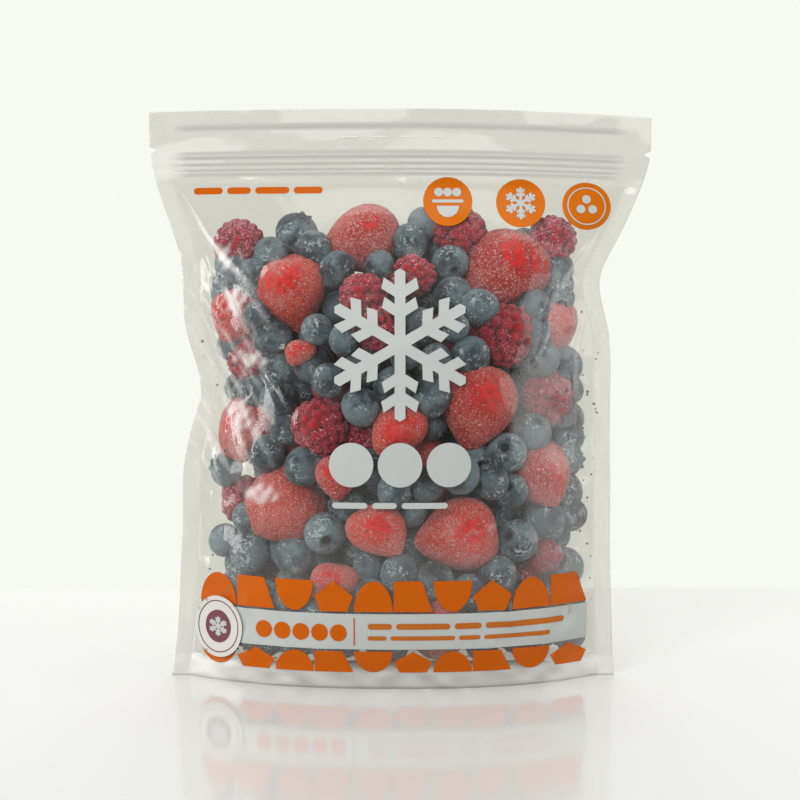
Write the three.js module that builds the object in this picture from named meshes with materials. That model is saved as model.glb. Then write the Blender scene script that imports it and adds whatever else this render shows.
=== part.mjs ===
import * as THREE from 'three';

// A clear stand-up pouch of frozen berries, closed under a flat header by a press-to-close zip.
// Millimetres, +Z up. The front faces -Y, and the origin is on the floor at the middle of the base.
// The filled bag is one closed solid out to the film: header and zip, side seals, the crowned front
// and back with the fruit pressing at them, and the opened gusset that it stands on.

// Driving dimensions
const HEIGHT = 216; // floor to the top edge, standing
const HEADER_HALF = 95; // half of the flat width at the header
const LEFT_HALF = 82.5; // half width of the filled part, which the filling draws in
const RIGHT_HALF = 80;
const SIDE_SEAL = 6.5; // width of the welded side seals
const FILM = 0.7; // half thickness of two films lying on each other
const HALF_DEPTH = 36.5; // half of the filled bag's depth where it is fullest
const BASE_DEPTH = 31; // half of the opened gusset's depth, at the floor
const FULLEST_AT = 56;
const HEADER_FOOT = 187; // height at which the film leaves the flat header

// The outline seen from the front
const NARROWING = { from: 150, to: 206 }; // where the header's width runs down to the body's
const FOOT = { left: 5, right: 2, fade: 30 }; // the corners of the base stand out
const PINCH_LEFT = { at: 110, depth: 6.2, reach: 18, kick: 5 }; // the side seals buckle in once each
const PINCH_RIGHT = { at: 150, depth: 4.5, reach: 14, kick: -4 };
const NOTCH = { at: 201.5, half: 1.4, depth: 2.6 }; // tear notches
const TOP_FALL = { left: 1.4, right: 3.4, from: 150 }; // the top edge droops at its ends

// Sections across the bag: 1 at the middle and 0 at the seal, as 1 - k^round
const SECTION = { round: 2.6, topRound: 4.6, topFrom: 120 };
const CROWN = 3.2; // power by which the depth runs out to the header
const SWELL = 0.6; // how fast the depth grows above the base
const HEM = { height: 6, tuck: 1.2, tuckFrom: 3.6, tuckTo: 9.6 }; // welded hem of the base
const BASE_RECESS = { rise: 3.2, spread: 0.6 }; // the gusset's film hangs above the floor inside the hem
const BASE_FOLD = { rise: 2.2, reach: 0.1 }; // and its middle fold a little higher
const RIM = 3.5; // width of the flat rim that the pouch stands on
const RIM_SHARE = 0.3; // and the largest share of the base's depth that it takes

// The zip's ribs and the top weld: height, half width and how far each stands out of the film
const RIBS = [
  { at: 192.4, half: 0.9, proud: 0.55 },
  { at: 196.6, half: 1.1, proud: 0.8 },
  { at: 199.0, half: 0.8, proud: 0.45 },
  { at: 209.5, half: 0.6, proud: 0.2 },
];
const RIB_FLANK = [0.6, 1.6]; // a rib's top and its foot, in half widths
const RIB_CRUSH = { from: 0.92, to: 1.3, left: 0.3 }; // ribs are crushed flat towards the side seals

// Fruit that presses at the film: place across and up the bag, reach and how far it lifts the film
const FRONT_FRUIT = [
  { x: -15, z: 168, reach: 19, lift: 1.6 },
  { x: 41, z: 157, reach: 21, lift: 2.2 },
  { x: -41, z: 148, reach: 18, lift: 2.0 },
  { x: 39, z: 133, reach: 14, lift: 1.4 },
  { x: -30, z: 99, reach: 14, lift: 1.7 },
  { x: 29, z: 106, reach: 20, lift: 1.9 },
  { x: 52, z: 81, reach: 16, lift: 1.7 },
  { x: -58, z: 98, reach: 16, lift: 1.5 },
  { x: -45, z: 71, reach: 20, lift: 2.0 },
  { x: 21, z: 60, reach: 19, lift: 1.8 },
  { x: -9, z: 62, reach: 14, lift: 1.2 },
  { x: -59, z: 142, reach: 14, lift: 1.2 },
];
const BACK_FRUIT = [
  { x: -38, z: 156, reach: 20, lift: 2.0 },
  { x: 22, z: 150, reach: 18, lift: 1.7 },
  { x: 54, z: 118, reach: 16, lift: 1.6 },
  { x: -6, z: 116, reach: 20, lift: 2.0 },
  { x: -52, z: 92, reach: 17, lift: 1.6 },
  { x: 30, z: 80, reach: 20, lift: 1.9 },
  { x: -16, z: 58, reach: 18, lift: 1.6 },
  { x: 58, z: 48, reach: 15, lift: 1.3 },
];
const FRUIT_CROWN = 1.5; // how round the film stands over a berry

// Creases in the film, each from one place to another across and up the bag
const FRONT_CREASES = [
  { from: [-84, 188], to: [-44, 138], half: 4.5, depth: 2.4 },
  { from: [-70, 172], to: [-56, 120], half: 4.0, depth: 2.0 },
  { from: [-72, 112], to: [-46, 122], half: 5.0, depth: 2.2 },
  { from: [-70, 104], to: [-58, 62], half: 4.0, depth: 1.5 },
  { from: [78, 176], to: [58, 140], half: 4.5, depth: 2.4 },
  { from: [66, 150], to: [38, 86], half: 5.0, depth: 1.8 },
  { from: [68, 132], to: [62, 52], half: 3.6, depth: 1.6 },
];
const BACK_CREASES = [
  { from: [82, 186], to: [42, 140], half: 4.5, depth: 2.2 },
  { from: [-80, 184], to: [-48, 146], half: 4.5, depth: 2.0 },
  { from: [72, 108], to: [44, 96], half: 5.0, depth: 1.8 },
  { from: [-68, 140], to: [-56, 78], half: 4.0, depth: 1.6 },
];
const CREASE = { spread: 2.5, sharpness: 1.6, taper: 0.7 }; // reach in half widths, edge and ends
const PUCKER = { depth: 0.7, pitch: 13, from: 0.72 }; // small puckers beside the side seals
const SEAL_WAVE = { depth: 1.1, pitch: 47, from: 30, edge: 6 }; // the seals run in slow waves
const HEADER_BOW = { depth: 2.6, from: 175 }; // the header's middle stands a little forward
const RELIEF_DEPTH = 8; // the relief fades out where the bag is thinner than this
const RELIEF_FOOT = 14; // and below this height, above the hem

// Mesh density
const BODY_COLUMNS = 34;
const SEAL_COLUMNS = 2;
const BODY_ROWS = 36;
const BASE_ROWS = [0.12, 0.3, 0.5, 0.7, 0.88]; // shares of the depth between the two rims
const EDGE_CROWDING = 0.999; // how closely the columns stand towards the seals, below 1

const clamp = (v) => Math.min(1, Math.max(0, v));
const smoothstep = (a, b, v) => {
  const t = clamp((v - a) / (b - a));
  return t * t * (3 - 2 * t);
};
const bell = (v, reach) => Math.exp(-((v / reach) ** 2));
const evenly = (count, at) => Array.from({ length: count }, (_, i) => at(i));

// Half width of the film on one side (-1 left, +1 right) at height h
function halfWidth(side, h) {
  const body = side < 0 ? LEFT_HALF : RIGHT_HALF;
  const foot = side < 0 ? FOOT.left : FOOT.right;
  const pinch = side < 0 ? PINCH_LEFT : PINCH_RIGHT;
  const notch = NOTCH.depth * clamp(1 - Math.abs(h - NOTCH.at) / NOTCH.half);
  return (
    body +
    (HEADER_HALF - body) * smoothstep(NARROWING.from, NARROWING.to, h) +
    foot * Math.exp(-h / FOOT.fade) -
    pinch.depth * bell(h - pinch.at, pinch.reach) -
    notch
  );
}

// Half depth of the filled bag in its middle at height h
function halfDepth(h) {
  if (h >= HEADER_FOOT) return 0;
  if (h > FULLEST_AT) {
    const t = (h - FULLEST_AT) / (HEADER_FOOT - FULLEST_AT);
    return HALF_DEPTH * (1 - t ** CROWN);
  }
  const grown = Math.sin((Math.PI / 2) * (h / FULLEST_AT) ** SWELL);
  const tuck = HEM.tuck * (1 - smoothstep(HEM.tuckFrom, HEM.tuckTo, h));
  return BASE_DEPTH + (HALF_DEPTH - BASE_DEPTH) * grown - tuck;
}

// The share of that depth left at k, which runs from 0 in the middle to 1 at the seal
function section(k, h) {
  const top = smoothstep(SECTION.topFrom, HEADER_FOOT, h);
  return 1 - k ** (SECTION.round + (SECTION.topRound - SECTION.round) * top);
}

// How far the fruit behind the film lifts it at one place
function fruitLift(list, x, z) {
  return list.reduce((most, f) => {
    const far = Math.hypot(x - f.x, z - f.z) / f.reach;
    return Math.max(most, far < 1 ? f.lift * (1 - far * far) ** FRUIT_CROWN : 0);
  }, 0);
}

// How deep the creases are at one place: sharp at the line, fading to both sides and at the ends
function creaseDepth(list, x, z) {
  return list.reduce((sum, c) => {
    const along = [c.to[0] - c.from[0], c.to[1] - c.from[1]];
    const length = Math.hypot(...along);
    const t = ((x - c.from[0]) * along[0] + (z - c.from[1]) * along[1]) / length ** 2;
    const off = Math.abs((x - c.from[0]) * along[1] - (z - c.from[1]) * along[0]) / length;
    if (t < 0 || t > 1 || off > CREASE.spread * c.half) return sum;
    const ends = Math.sin(Math.PI * t) ** CREASE.taper;
    return sum + c.depth * ends * Math.exp((-CREASE.sharpness * off) / c.half);
  }, 0);
}

// Puckers where the filled part runs into a side seal
function puckerDepth(side, k, h) {
  const ripple = 1 + Math.sin((2 * Math.PI * h) / PUCKER.pitch + 2 * side);
  return PUCKER.depth * smoothstep(PUCKER.from, 1, k) * ripple;
}

// The middle plane between the two films: bowed at the header, kicked and waved at the seals
function midPlane(side, reach, h) {
  const pinch = side < 0 ? PINCH_LEFT : PINCH_RIGHT;
  const k = Math.min(1, reach);
  const edge = k ** SEAL_WAVE.edge * smoothstep(0, SEAL_WAVE.from, h);
  const kick = pinch.kick * bell(h - pinch.at, pinch.reach);
  const wave = SEAL_WAVE.depth * Math.sin((2 * Math.PI * h) / SEAL_WAVE.pitch + side);
  const bow = HEADER_BOW.depth * (1 - k * k) * smoothstep(HEADER_BOW.from, HEIGHT, h);
  return edge * (kick + wave) - bow;
}

// Height of the zip's ribs and the top weld over the film
function ribHeight(reach, h) {
  const crushed = (1 - RIB_CRUSH.left) * smoothstep(RIB_CRUSH.from, RIB_CRUSH.to, reach);
  const tops = RIBS.map((rib) => rib.proud * clamp(RIB_FLANK[1] - Math.abs(h - rib.at) / rib.half));
  return Math.max(...tops) * (1 - crushed);
}

// A point of one film (face -1 front, +1 back). across runs from -1 to 1 over the part between the
// seals, and on to -2 and 2 over the seals themselves.
function filmPoint(face, across, h) {
  const side = across < 0 ? -1 : 1;
  const reach = Math.abs(across);
  const k = Math.min(1, reach);
  const inner = halfWidth(side, h) - SIDE_SEAL;
  const x = side * (k * inner + Math.max(0, reach - 1) * SIDE_SEAL);
  const fall = (side < 0 ? TOP_FALL.left : TOP_FALL.right) * smoothstep(TOP_FALL.from, HEIGHT, h);
  const z = h - fall * clamp(Math.abs(x) / HEADER_HALF) ** 2;
  const fullness = halfDepth(h) * section(k, h);
  const give = clamp(fullness / RELIEF_DEPTH) * smoothstep(0, RELIEF_FOOT, h);
  const fruit = fruitLift(face < 0 ? FRONT_FRUIT : BACK_FRUIT, x, z);
  const creases = creaseDepth(face < 0 ? FRONT_CREASES : BACK_CREASES, x, z);
  const relief = fruit - creases - puckerDepth(side, k, h);
  const depth = FILM + fullness + give * relief + ribHeight(reach, h);
  return new THREE.Vector3(x, midPlane(side, reach, h) + face * depth, z);
}

// Heights of the rings of points, closer together at the base hem, the zip's ribs and the notches
function ringHeights() {
  const body = evenly(BODY_ROWS, (i) => HEM.tuckTo + ((HEADER_FOOT - HEM.tuckTo) * (i + 1)) / BODY_ROWS);
  const flanks = [-RIB_FLANK[1], -RIB_FLANK[0], RIB_FLANK[0], RIB_FLANK[1]];
  const ribs = RIBS.flatMap((rib) => flanks.map((t) => rib.at + t * rib.half));
  const notch = [-1, 0, 1].map((t) => NOTCH.at + t * NOTCH.half);
  const hem = [0, HEM.tuckFrom, HEM.height, HEM.tuckTo];
  return [...hem, ...body, ...ribs, ...notch, HEIGHT].sort((a, b) => a - b);
}

// Places across the bag, closer together towards the seals, where the film turns in fastest
function columnPlaces() {
  const quarter = (Math.PI / 2) * EDGE_CROWDING;
  const place = (share) => Math.sin(quarter * share) / Math.sin(quarter);
  const body = evenly(BODY_COLUMNS + 1, (i) => place((2 * i) / BODY_COLUMNS - 1));
  const seal = evenly(SEAL_COLUMNS, (i) => 1 + (i + 1) / SEAL_COLUMNS);
  return [...seal.map((s) => -s).reverse(), ...body, ...seal];
}

// Rows of points between the front hem and the back hem, rising off the floor behind the flat rims
function gussetRows(add, pointAt, ring, places) {
  return [0, ...BASE_ROWS, 1].map((share) =>
    places.map((place, j) => {
      const front = pointAt(ring.front[j]);
      const depth = pointAt(ring.back[j]).y - front.y;
      const rim = Math.min(RIM / depth, RIM_SHARE);
      const y = front.y + depth * (rim + (1 - 2 * rim) * share);
      const open = smoothstep(4 * RIM, 10 * RIM, depth);
      const hang = BASE_RECESS.rise * Math.sin(Math.PI * share) ** BASE_RECESS.spread;
      const fold = BASE_FOLD.rise * bell(share - 0.5, BASE_FOLD.reach);
      return add(new THREE.Vector3(front.x, y, open * (hang + fold)));
    }),
  );
}

function pouchGeometry() {
  const positions = [];
  const faces = [];
  const add = (p) => positions.push(p.x, p.y, p.z) / 3 - 1;
  const pointAt = (index) => new THREE.Vector3().fromArray(positions, index * 3);
  const quad = (a, b, c, d) => faces.push(a, b, c, a, c, d);
  const places = columnPlaces();
  const last = places.length - 1;

  // Each ring of points has a front and a back, both from left to right
  const rings = ringHeights().map((h) => ({
    front: places.map((p) => add(filmPoint(-1, p, h))),
    back: places.map((p) => add(filmPoint(1, p, h))),
  }));
  for (let i = 0; i + 1 < rings.length; i++) {
    const [low, high] = [rings[i], rings[i + 1]];
    for (let j = 0; j < last; j++) {
      quad(low.front[j], low.front[j + 1], high.front[j + 1], high.front[j]);
      quad(low.back[j + 1], low.back[j], high.back[j], high.back[j + 1]);
    }
    if (i === 0) continue; // the lowest ring's ends are closed with the base
    quad(low.back[0], low.front[0], high.front[0], high.back[0]);
    quad(low.front[last], low.back[last], high.back[last], high.front[last]);
  }
  const top = rings[rings.length - 1];
  for (let j = 0; j < last; j++) quad(top.front[j], top.front[j + 1], top.back[j + 1], top.back[j]);

  // The base: a flat rim along both hems, and the gusset's film hung between them
  const [floor, above] = rings;
  const rows = [floor.front, ...gussetRows(add, pointAt, floor, places), floor.back];
  for (let r = 0; r + 1 < rows.length; r++) {
    const [near, far] = [rows[r], rows[r + 1]];
    for (let j = 0; j < last; j++) quad(near[j + 1], near[j], far[j], far[j + 1]);
    faces.push(far[0], near[0], above.front[0]);
    faces.push(near[last], far[last], above.back[last]);
  }
  faces.push(floor.back[0], above.front[0], above.back[0]);
  faces.push(floor.front[last], above.back[last], above.front[last]);

  const geometry = new THREE.BufferGeometry();
  geometry.setAttribute('position', new THREE.Float32BufferAttribute(positions, 3));
  geometry.setIndex(faces);
  geometry.computeVertexNormals();
  return geometry;
}

const filmMaterial = new THREE.MeshStandardMaterial({
  color: 0xd9d7d0,
  roughness: 0.22,
  metalness: 0,
  transparent: true,
  opacity: 0.55,
});

const pouch = new THREE.Mesh(pouchGeometry(), filmMaterial);
pouch.name = 'pouch';

const fruitPouch = new THREE.Group();
fruitPouch.add(pouch);

export default fruitPouch;
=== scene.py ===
import math
import bpy
import numpy as np
from mathutils import Euler, Matrix, Vector
from mathutils.geometry import delaunay_2d_cdt


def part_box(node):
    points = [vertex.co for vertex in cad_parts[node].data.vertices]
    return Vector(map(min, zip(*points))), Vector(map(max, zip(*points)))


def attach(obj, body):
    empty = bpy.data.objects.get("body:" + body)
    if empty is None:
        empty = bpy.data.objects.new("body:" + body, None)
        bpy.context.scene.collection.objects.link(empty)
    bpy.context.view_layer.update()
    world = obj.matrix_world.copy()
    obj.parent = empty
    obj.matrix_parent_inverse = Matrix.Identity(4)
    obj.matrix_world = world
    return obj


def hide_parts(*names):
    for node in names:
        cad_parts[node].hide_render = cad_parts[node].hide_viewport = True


# A clear stand-up pouch of frozen berries. Lengths are worked in millimetres and made metres
# when a mesh is written. Front is -Y, up is +Z.

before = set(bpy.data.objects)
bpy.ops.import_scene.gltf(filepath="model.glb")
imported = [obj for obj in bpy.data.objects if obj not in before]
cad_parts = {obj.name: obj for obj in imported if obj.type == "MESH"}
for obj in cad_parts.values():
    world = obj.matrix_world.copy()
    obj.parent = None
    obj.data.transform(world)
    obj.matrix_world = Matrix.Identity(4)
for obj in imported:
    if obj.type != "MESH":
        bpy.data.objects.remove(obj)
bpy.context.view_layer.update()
lowCorner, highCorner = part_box("pouch")
mm = 0.001
rng = np.random.default_rng(4757)


def smooth(a, b, v):
    t = np.clip((v - a) / (b - a), 0, 1)
    return t * t * (3 - 2 * t)


def bell(v, reach):
    return np.exp(-((v / reach) ** 2))


# Shader building

def shadeMaths(operation, turned=False):
    # an operator of Shade; a turned one is for a number that stands before the socket
    def apply(shade, other):
        pair = (other, shade) if turned else (shade, other)
        return shade.maths(operation, *pair)

    return apply


class Shade:
    # wraps one output socket, so that shader maths reads as an expression
    def __init__(self, paint, socket):
        self.paint = paint
        self.socket = socket

    def maths(self, operation, first, second, clamp=False):
        settings = {"operation": operation, "use_clamp": clamp}
        return self.paint.node("ShaderNodeMath", settings, {0: first, 1: second})

    __add__ = shadeMaths("ADD")
    __radd__ = shadeMaths("ADD", True)
    __sub__ = shadeMaths("SUBTRACT")
    __rsub__ = shadeMaths("SUBTRACT", True)
    __mul__ = shadeMaths("MULTIPLY")
    __rmul__ = shadeMaths("MULTIPLY", True)
    __truediv__ = shadeMaths("DIVIDE")
    __pow__ = shadeMaths("POWER")
    most = shadeMaths("MAXIMUM")

    def held(self):
        return self.maths("ADD", self, 0.0, clamp=True)

    def between(self, low, high):
        sockets = {"Value": self, "From Min": low, "From Max": high}
        settings = {"interpolation_type": "SMOOTHSTEP", "clamp": True}
        return self.paint.node("ShaderNodeMapRange", settings, sockets)


class Paint:
    # the nodes of one material, or of the world
    def __init__(self, name, kind=bpy.data.materials):
        self.material = kind.new(name)
        self.material.use_nodes = True
        self.tree = self.material.node_tree
        self.tree.nodes.clear()

    def node(self, kind, settings, sockets, out=0):
        made = self.tree.nodes.new(kind)
        for key, value in settings.items():
            setattr(made, key, value)
        for key, value in sockets.items():
            if isinstance(value, Shade):
                self.tree.links.new(value.socket, made.inputs[key])
            else:
                made.inputs[key].default_value = value
        return Shade(self, made.outputs[out]) if len(made.outputs) else None

    def mix(self, factor, first, second):
        settings = {"data_type": "RGBA", "clamp_factor": True}
        return self.node("ShaderNodeMix", settings, {0: factor, 6: first, 7: second}, out=2)

    def lay(self, factor, under, coat):
        # a coat is the share and the colour of what lies over the rest
        share, colour = coat
        return self.mix(factor * share, under, colour)

    def noise(self, where, scale, detail, roughness):
        sockets = {"Vector": where, "Scale": scale, "Detail": detail, "Roughness": roughness}
        return self.node("ShaderNodeTexNoise", {}, sockets)

    def value(self, name):
        return self.node("ShaderNodeAttribute", {"attribute_name": name}, {}, out=2)

    def place(self):
        return self.node("ShaderNodeTexCoord", {}, {}, out=3)

    def bump(self, strength, distance, height):
        sockets = {"Strength": strength, "Distance": distance, "Height": height}
        return self.node("ShaderNodeBump", {}, sockets)

    def principled(self, sockets):
        return self.node("ShaderNodeBsdfPrincipled", {}, sockets)

    def finish(self, surface):
        self.node("ShaderNodeOutputMaterial", {}, {"Surface": surface})
        return self.material


def makePiece(name, points, faces, material, slot, values=None):
    # points are in millimetres, and values hold one number a point by name
    mesh = bpy.data.meshes.new(name)
    mesh.from_pydata((np.asarray(points) * mm).tolist(), [], [list(map(int, f)) for f in faces])
    for key, data in (values or {}).items():
        layer = mesh.attributes.new(key, "FLOAT", "POINT")
        layer.data.foreach_set("value", np.asarray(data, dtype=np.float32))
    mesh.polygons.foreach_set("use_smooth", [True] * len(mesh.polygons))
    mesh.materials.append(material)
    mesh.update()
    piece = bpy.data.objects.new(name, mesh)
    bpy.context.collection.objects.link(piece)
    return piece


# The pouch's form, the same as the solid's

pouch = {
    "height": (highCorner.z - lowCorner.z) / mm,
    "headerHalf": (highCorner.x - lowCorner.x) / mm / 2,
    "leftHalf": 82.5,
    "rightHalf": 80,
    "sideSeal": 6.5,
    "film": 0.45,  # half thickness of two films lying on each other
    "halfDepth": 36.5,
    "baseDepth": 31,
    "fullestAt": 56,
    "headerFoot": 187,
    "narrowing": (150, 206),  # the heights between which it widens to the header
    "foot": (5, 2, 30),  # how far the left and right corners stand out, and how fast that fades
    "pinchLeft": (110, 6.2, 18, 5),  # height, depth, reach and kick
    "pinchRight": (150, 4.5, 14, -4),
    "notch": (201.5, 1.4, 2.6),  # height, half its own height, and depth
    "topFall": (1.4, 3.4, 150),  # at the left and right end of the top edge, and the height it starts at
    "section": (2.6, 4.6, 120),  # the power of its roundness below and at the header, and where it grows
    "crown": 3.2,
    "swell": 0.6,
    "hem": (6, 1.2, 3.6, 9.6),  # height, tuck, and the heights between which the tuck fades
    "ribs": ((192.4, 0.9, 0.55), (196.6, 1.1, 0.8), (199.0, 0.8, 0.45), (209.5, 0.6, 0.2)),
    "sealWave": (1.1, 47, 30, 6),  # depth, pitch, the height it is full at, and its power
    "bow": (2.6, 175),
    "pucker": (0.7, 13, 0.72),  # depth, pitch, and where it starts
}


def halfWidth(side, h):
    body = np.where(side < 0, pouch["leftHalf"], pouch["rightHalf"])
    leftFoot, rightFoot, fade = pouch["foot"]
    leftPinch = pouch["pinchLeft"]
    rightPinch = pouch["pinchRight"]
    pinched = np.where(
        side < 0,
        leftPinch[1] * bell(h - leftPinch[0], leftPinch[2]),
        rightPinch[1] * bell(h - rightPinch[0], rightPinch[2]),
    )
    at, half, depth = pouch["notch"]
    notch = depth * np.clip(1 - np.abs(h - at) / half, 0, 1)
    header = (pouch["headerHalf"] - body) * smooth(*pouch["narrowing"], h)
    return body + header + np.where(side < 0, leftFoot, rightFoot) * np.exp(-h / fade) - pinched - notch


def halfDepth(h):
    full = pouch["fullestAt"]
    t = np.clip((h - full) / (pouch["headerFoot"] - full), 0, 1)
    upper = pouch["halfDepth"] * (1 - t ** pouch["crown"])
    grown = np.sin(math.pi / 2 * np.clip(h / full, 0, 1) ** pouch["swell"])
    _, tuck, tuckFrom, tuckTo = pouch["hem"]
    lower = pouch["baseDepth"] + (pouch["halfDepth"] - pouch["baseDepth"]) * grown
    lower = lower - tuck * (1 - smooth(tuckFrom, tuckTo, h))
    return np.where(h > full, upper, lower)


def fullness(k, h):
    roundness, topRound, topFrom = pouch["section"]
    power = roundness + (topRound - roundness) * smooth(topFrom, pouch["headerFoot"], h)
    return halfDepth(h) * (1 - np.clip(k, 0, 1) ** power)


def midPlane(side, reach, h):
    k = np.minimum(1, reach)
    depth, pitch, start, edge = pouch["sealWave"]
    left = pouch["pinchLeft"]
    right = pouch["pinchRight"]
    leftKick = left[3] * bell(h - left[0], left[2])
    rightKick = right[3] * bell(h - right[0], right[2])
    kick = np.where(side < 0, leftKick, rightKick)
    wave = depth * np.sin(2 * math.pi * h / pitch + side)
    bowDepth, bowFrom = pouch["bow"]
    bow = bowDepth * (1 - k * k) * smooth(bowFrom, pouch["height"], h)
    return k**edge * smooth(0, start, h) * (kick + wave) - bow


def bulge(x, z):
    # depth of the plain film in front of the middle plane at a place on the bag
    side = np.where(x < 0, -1, 1)
    inner = halfWidth(side, z) - pouch["sideSeal"]
    return fullness(np.abs(x) / inner, z)


# The fruit. Sizes are across, through and up. The first ones stand where the photo shows them.

strawberries = {
    "seen": (
        # x, z, width, height, lean
        (-15, 168, 31, 26, 70), (42, 155, 34, 33, 35), (-42, 146, 27, 31, -12), (-62, 139, 23, 23, 20),
        (60, 132, 20, 27, 5), (-59, 95, 24, 27, 30), (30, 104, 29, 33, 12), (54, 79, 24, 27, -20),
        (-46, 67, 34, 30, 62), (-9, 59, 23, 20, -35), (21, 57, 32, 28, 80), (-24, 38, 19, 17, 15),
        (0, 97, 21, 20, 40), (-22, 79, 18, 17, 0), (-37, 124, 12, 10, 20),
    ),
    "frost": (1, 0.45, 0.15, 1, 0.8, 1, 0.2, 0.8, 0.75, 0.7, 0.65, 0.8, 0.3, 0.3, 0.6),  # of those seen
    "hidden": 18,
    "size": (22, 31),
    "girth": (0.94, 0.12, 0.34, 0.12),  # about the middle, least and most taper, and roundness
    "squash": (0.86, 1.0),
    "length": (1.04, 0.1, 0.6),  # and the tip's height and reach
    "lumps": ((0.10, 8, 4.5), (0.035, 34, 26)),  # height, count and sharpness
    "stem": (0.13, 0.42),  # depth and reach
    "seeds": 150,
    "dimple": (0.042, 300),  # depth and sharpness
}
raspberries = {
    "seen": (
        (-62, 165, 20, 19, 40), (22, 170, 22, 19, -50), (63, 168, 19, 20, 20), (-13, 144, 19, 19, 0),
        (5, 153, 18, 17, 35), (40, 131, 22, 25, 10), (-30, 97, 22, 23, -25), (58, 107, 20, 22, 15),
        (-8, 134, 18, 18, 60), (-58, 121, 18, 17, 70), (55, 47, 15, 14, 30),
    ),
    "hidden": 18,
    "size": (17, 22),
    "rings": (7, 28, 152),  # of drupelets: how many, the first one's angle and the sweep of them all
    "ringOf": (15, 0.9),  # drupelets in the widest ring, and how fast the rings shrink
    "stray": (0.06, 0.035),
    "drupelet": (0.2, 0.25, 0.21),  # least and most reach, and height
    "cup": (0.22, 0.46, 0.75, 0.25),  # where it starts and ends, its depth and taper
}
blueberries = {
    "seen": (
        (-39, 169, 16.5), (-49, 161, 13.5), (4, 166, 15), (9, 172, 13), (-24, 156, 15.5), (19, 158, 14.5),
        (20, 146, 15), (-48, 130, 15.5), (54, 123, 15), (-34, 121, 15), (-47, 118, 14), (-46, 107, 14.5),
        (50, 94, 15), (40, 87, 15.5), (35, 76, 14), (-56, 62, 13), (-28, 57, 16), (-13, 82, 14),
        (41, 73, 13.5), (66, 62, 13), (-40, 48, 15), (10, 76, 14),
    ),
    "hidden": 250,
    "size": (11.8, 16.6),
    "flat": (0.86, 0.95),
    "rim": (15, 19),  # of the dish, in degrees from the pole
    "dish": 0.19,
    "crown": (3.2, 0.03, 0.11, 0.3),  # width in degrees, the lip, the points' height and their spread
    "stem": (0.05, 0.2),
}
groups = {"strawberry": strawberries, "raspberry": raspberries, "blueberry": blueberries}
packing = {
    "rounds": 420,
    "floor": 9.5,
    "ceiling": (171, 180),  # of the berries behind, and of those that show
    "skin": 0.9,
    "settle": 0.034,
    "spread": 0.045,  # drift of the berries behind towards the nearer face
    "overlap": 0.93,
    "plainBelow": 13,  # this deep under the film a berry hardly shows
    "behind": {"strawberry": 0, "raspberry": 1, "blueberry": 5},  # how far back of the film they lie
    "through": (0.78, 0.9),  # a berry's depth as a share of its mean size
    "front": {"strawberry": 0.15, "raspberry": 0.15, "blueberry": -0.4},  # the hidden ones, at most
    "start": (70, 0.8),  # where the hidden ones start: half the width, and a share of the depth
    "clearOf": (0.95, 0.8, 0.7),  # shares of a half size kept from the floor, the ceiling and the seals
    "push": 0.7,
    "yield": (0.12, 0.55, 0.3),  # of a held berry, to a free one, and between two held ones
    "home": (0.35, 0.2, 0.35),  # how fast a held berry goes back, along x, y and z
    "divide": 4,  # the free ones part here towards the two faces
}


def gatherFruit():
    # one row for each berry: kind, centre, half sizes, lean and whether its place is set
    rows = []
    for kind, group in groups.items():
        for seen in group["seen"]:
            x, z, wide = seen[:3]
            tall = seen[3] if len(seen) > 3 else wide
            lean = seen[4] if len(seen) > 4 else 0
            through = (wide + tall) / 2 * rng.uniform(*packing["through"])
            depth = float(bulge(np.array(x), np.array(z)))
            y = -max(0, depth - through / 2 - packing["skin"] - packing["behind"][kind])
            rows.append((kind, (x, y, z), (wide / 2, through / 2, tall / 2), lean, True))
        for _ in range(group["hidden"]):
            size = rng.uniform(*group["size"])
            z = rng.uniform(packing["floor"] + size / 2, packing["ceiling"][0] - size / 2)
            reach, share = packing["start"]
            x = rng.uniform(-reach, reach)
            y = rng.uniform(packing["front"][kind], 1) * float(bulge(np.array(x), np.array(z))) * share
            rows.append((kind, (x, y, z), (size / 2,) * 3, rng.uniform(-180, 180), False))
    return rows


def keepInside(centre, half, ceiling):
    # pushes centres in from the film along its slope, by each berry's reach towards it
    step = 0.5
    wide, through, tall = half.T
    overFloor, underTop, offSeal = packing["clearOf"]
    for _ in range(2):
        x, y, z = centre.T
        z[:] = np.clip(z, packing["floor"] + tall * overFloor, ceiling - tall * underTop)
        side = np.where(x < 0, -1, 1)
        inner = halfWidth(side, z) - pouch["sideSeal"]
        off = y - midPlane(side, np.abs(x) / inner, z)
        depth = bulge(x, z)
        slopeX = (bulge(x + step, z) - bulge(x - step, z)) / (2 * step)
        slopeZ = (bulge(x, z + step) - bulge(x, z - step)) / (2 * step)
        steep = np.sqrt(1 + slopeX**2 + slopeZ**2)
        reach = np.sqrt(through**2 + (wide * slopeX) ** 2 + (tall * slopeZ) ** 2)
        short = np.maximum(0, reach + packing["skin"] * steep - (depth - np.abs(off)))
        share = short / steep**2
        x += share * slopeX
        z += share * slopeZ
        y -= share * np.sign(off)
        x[:] = np.clip(x, wide * offSeal - inner, inner - wide * offSeal)


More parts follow.
